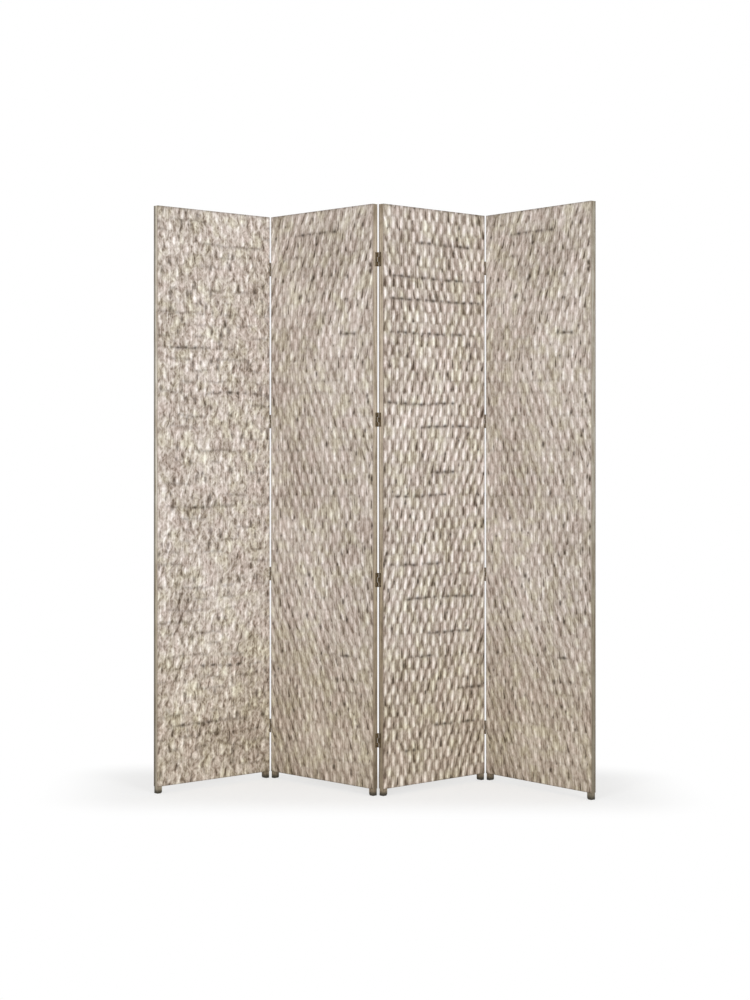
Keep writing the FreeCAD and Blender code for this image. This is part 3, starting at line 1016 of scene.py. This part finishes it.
leaf_bronze = bronze_material("hinge_leaf_bronze", rubbed=0.15)
pin_bronze = bronze_material("hinge_pin_bronze", rubbed=0.35)
screw_bronze = bronze_material("hinge_screw_bronze", rubbed=0.3)
leaves = [node for node in frame["nodes"] if node.endswith("_leaf")]
pins = [node for node in frame["nodes"] if node.endswith("_pins")]
for node in leaves:
    dress(node, leaf_bronze)
for node in pins:
    dress(node, pin_bronze)
print(len(leaves), "leaves and", len(pins), "sets of pins dressed")

# %% [markdown]
# Each leaf is held by two slotted screws, which are set by the leaf's own corners. A screw
# head is a polar surface: its height is a shallow dome over the radius, less a straight slot
# through the middle. The head closes below with a short wall and a flat underside that sits
# on the leaf. All screws of a panel are one piece, because they ride together.

# %% Shape of a screw head
HEAD_RADIUS = 2.7 * MILLIMETRE
HEAD_RISE = 0.55 * MILLIMETRE
HEAD_WALL = 0.15 * MILLIMETRE
SLOT_HALF_WIDTH = 0.4 * MILLIMETRE
SLOT_FLOOR, SLOT_LIP = 0.8 * SLOT_HALF_WIDTH, 1.3 * SLOT_HALF_WIDTH
SLOT_DEPTH = 0.4 * MILLIMETRE
AROUND, OUTWARD = 28, 7


def screw_head(turn):
    """Points and faces of one head about its own axis, which is the third coordinate.
    height = wall + rise (1 - (r / radius)^2), less the slot's depth where |y| is small."""
    angle = np.arange(AROUND) / AROUND * 2 * math.pi
    radius = np.linspace(0, 1, OUTWARD + 1)[1:, None] * HEAD_RADIUS
    x, y = radius * np.cos(angle), radius * np.sin(angle)
    outside_slot = soft_step(np.abs(y), SLOT_FLOOR, SLOT_LIP)
    height = HEAD_WALL + HEAD_RISE * (1 - (radius / HEAD_RADIUS) ** 2)
    height = np.maximum(height - SLOT_DEPTH * (1 - outside_slot), HEAD_WALL / 2)
    turned_x = x * math.cos(turn) - y * math.sin(turn)
    turned_y = x * math.sin(turn) + y * math.cos(turn)
    top = np.stack([turned_x, turned_y, height], axis=-1)
    foot = top[-1] * LEVEL
    middle = np.array([[0, 0, HEAD_WALL + HEAD_RISE - SLOT_DEPTH]])
    points = np.concatenate([top.reshape(-1, 3), foot, middle])
    rings = np.arange((OUTWARD + 1) * AROUND).reshape(OUTWARD + 1, AROUND)
    rings = np.concatenate([rings, rings[:, :1]], axis=1)
    quads = grid_faces(rings)[:, ::-1]
    centre = np.full(AROUND, len(points) - 1)
    fan = np.stack([centre, rings[0, :-1], rings[0, 1:]], axis=1)
    return points, quads, fan, rings[-1, :-1][::-1]


print("a screw head has", len(screw_head(0)[0]), "vertices")

# %% Set the screws
SCREW_SPREAD = 30 * MILLIMETRE
SAME_FACE = MILLIMETRE / 10
SCREW_SEED = 5


def leaf_screws(panel, node, chance):
    """Screw heads of one leaf, as lists of points and faces in the frame's coordinates.
    The leaf's free edge tells where its plate lies: they sit halfway from there to the pin."""
    points = in_panel(panel, node_points(node))
    low, high = points.min(axis=0), points.max(axis=0)
    on_right = low[0] > 0
    on_front = low[1] < 0
    free_edge, barrel_end = (high[1], low[1]) if on_front else (low[1], high[1])
    plate = points[np.abs(points[:, 1] - free_edge) < SAME_FACE]
    surface = plate[:, 0].max() if on_right else plate[:, 0].min()
    barrel = high[0] - surface if on_right else surface - low[0]
    middle = (free_edge + barrel_end) / 2 + (1 if on_front else -1) * barrel / 2
    outward = np.array([1.0 if on_right else -1.0, 0, 0])
    side = np.cross(UP, outward)
    heads = []
    for offset in (-SCREW_SPREAD / 2, SCREW_SPREAD / 2):
        shape, quads, fan, underside = screw_head(chance.uniform(0, math.pi))
        place = np.array([surface, middle, (low[2] + high[2]) / 2 + offset])
        placed = place + shape[:, :1] * side + shape[:, 1:2] * UP + shape[:, 2:] * outward
        heads.append((in_frame(panel, placed), quads, fan, underside))
    return heads


def joined(heads):
    """One list of points, face corners and face sizes for many heads."""
    points, loops, sizes = [], [], []
    start = 0
    for shape, quads, fan, underside in heads:
        points.append(shape)
        loops += [quads.ravel() + start, fan.ravel() + start, underside + start]
        sizes += [4] * len(quads) + [3] * len(fan) + [len(underside)]
        start += len(shape)
    return np.concatenate(points), np.concatenate(loops), np.array(sizes)


chance = np.random.default_rng(SCREW_SEED)
for panel in panels:
    own = sorted(node for node in frame["record"]["behaviour"]["bodies"][panel.name] if node in leaves)
    heads = [head for node in own for head in leaf_screws(panel, node, chance)]
    points, loops, sizes = joined(heads)
    mesh = build_mesh(panel.name + "_hinge_screws", points, loops, sizes, sizes < AROUND)
    place_piece(mesh, screw_bronze, panel.name)
    print(mesh.name, len(heads), "heads")

# %% [markdown]
# ## Studio
# The screen stands on a pale floor in soft light. Two equal lamps, at the front left and the
# front right, light the panels that face them and bring out their relief, and the world
# lights the rest evenly. The floor keeps a light shadow near the screen and fades to plain
# white further out, where it meets the white background without a line.

# %% Floor
FLOOR_SIZE = 60.0
PAPER = colour(247, 247, 246)
FOOTPRINT_HALF = (0.84, 0.2, 0.0)
FADE_START, FADE_END = 0.0, 0.4
LEAST_WHITE = 0.6
WHITE = (1, 1, 1, 1)


def shows_itself(tree):
    """1 for rays from the camera and for what metal and glass show, 0 for light on the object."""
    rays = add(tree, "ShaderNodeLightPath").outputs
    seen = sums(tree, "MAXIMUM", rays["Is Camera Ray"], rays["Is Glossy Ray"])
    return sums(tree, "MAXIMUM", seen, rays["Is Transmission Ray"])


def floor_material():
    """White paper that turns into plain white light for the camera away from the screen.
    The distance from the footprint is the length of max(|place| - half the footprint, 0)."""
    material, tree, shader = new_material("floor", Base_Color=PAPER, Roughness=0.9, Specular_IOR_Level=0.1)
    outside = add(tree, "ShaderNodeTexCoord").outputs["Object"]
    for operation, values in (("ABSOLUTE", None), ("SUBTRACT", FOOTPRINT_HALF), ("MAXIMUM", (0, 0, 0))):
        step = add(tree, "ShaderNodeVectorMath", {"operation": operation})
        wire(tree, step, "0", outside)
        if values:
            wire(tree, step, "1", values)
        outside = step.outputs[0]
    distance = add(tree, "ShaderNodeVectorMath", {"operation": "LENGTH"})
    wire(tree, distance, "0", outside)
    fade = between(tree, distance.outputs["Value"], FADE_START, FADE_END)
    share = sums(tree, "MULTIPLY_ADD", fade, 1.0 - LEAST_WHITE, LEAST_WHITE)
    white = add(tree, "ShaderNodeEmission", Color=WHITE, Strength=1.0)
    mixed = add(tree, "ShaderNodeMixShader", Fac=sums(tree, "MULTIPLY", share, shows_itself(tree)))
    wire(tree, mixed, "1", shader.outputs["BSDF"])
    wire(tree, mixed, "2", white.outputs[0])
    output = next(node for node in tree.nodes if node.type == "OUTPUT_MATERIAL")
    wire(tree, output, "Surface", mixed.outputs[0])
    return material


half = FLOOR_SIZE / 2
corners = np.array([(-half, -half, 0), (half, -half, 0), (half, half, 0), (-half, half, 0)], float)
floor_mesh = build_mesh("floor", corners, np.arange(4), np.array([4]), False)
floor_mesh.materials.append(floor_material())
floor = bpy.data.objects.new("floor", floor_mesh)
bpy.context.scene.collection.objects.link(floor)
print("floor", FLOOR_SIZE, "m wide")

# %% World and lamps
WORLD_STRENGTH = 0.62
LAMP_WATTS = 250.0
LAMP_SIZE = 2.6
LAMP_PLACES = {"left": (-4.4, -7.4, 2.8), "right": (4.4, -7.4, 2.8)}
LAMP_TARGET = (0, 0, 1.1)


def lamp(name, place):
    """A soft square lamp that looks at the screen."""
    light = bpy.data.lights.new(name, "AREA")
    light.energy = LAMP_WATTS
    light.shape = "SQUARE"
    light.size = LAMP_SIZE
    body = bpy.data.objects.new(name, light)
    body.location = place
    body.rotation_euler = (Vector(LAMP_TARGET) - Vector(place)).to_track_quat("-Z", "Y").to_euler()
    bpy.context.scene.collection.objects.link(body)


world = bpy.data.worlds.new("studio")
bpy.context.scene.world = world
world.use_nodes = True
tree = world.node_tree
tree.nodes.clear()
strength = sums(tree, "MULTIPLY_ADD", shows_itself(tree), 1.0 - WORLD_STRENGTH, WORLD_STRENGTH)
sky = add(tree, "ShaderNodeBackground", Color=WHITE, Strength=strength)
add(tree, "ShaderNodeOutputWorld", Surface=sky.outputs[0])
for name, place in LAMP_PLACES.items():
    lamp(name, place)
print("world", WORLD_STRENGTH, "lamps", LAMP_WATTS, "W")
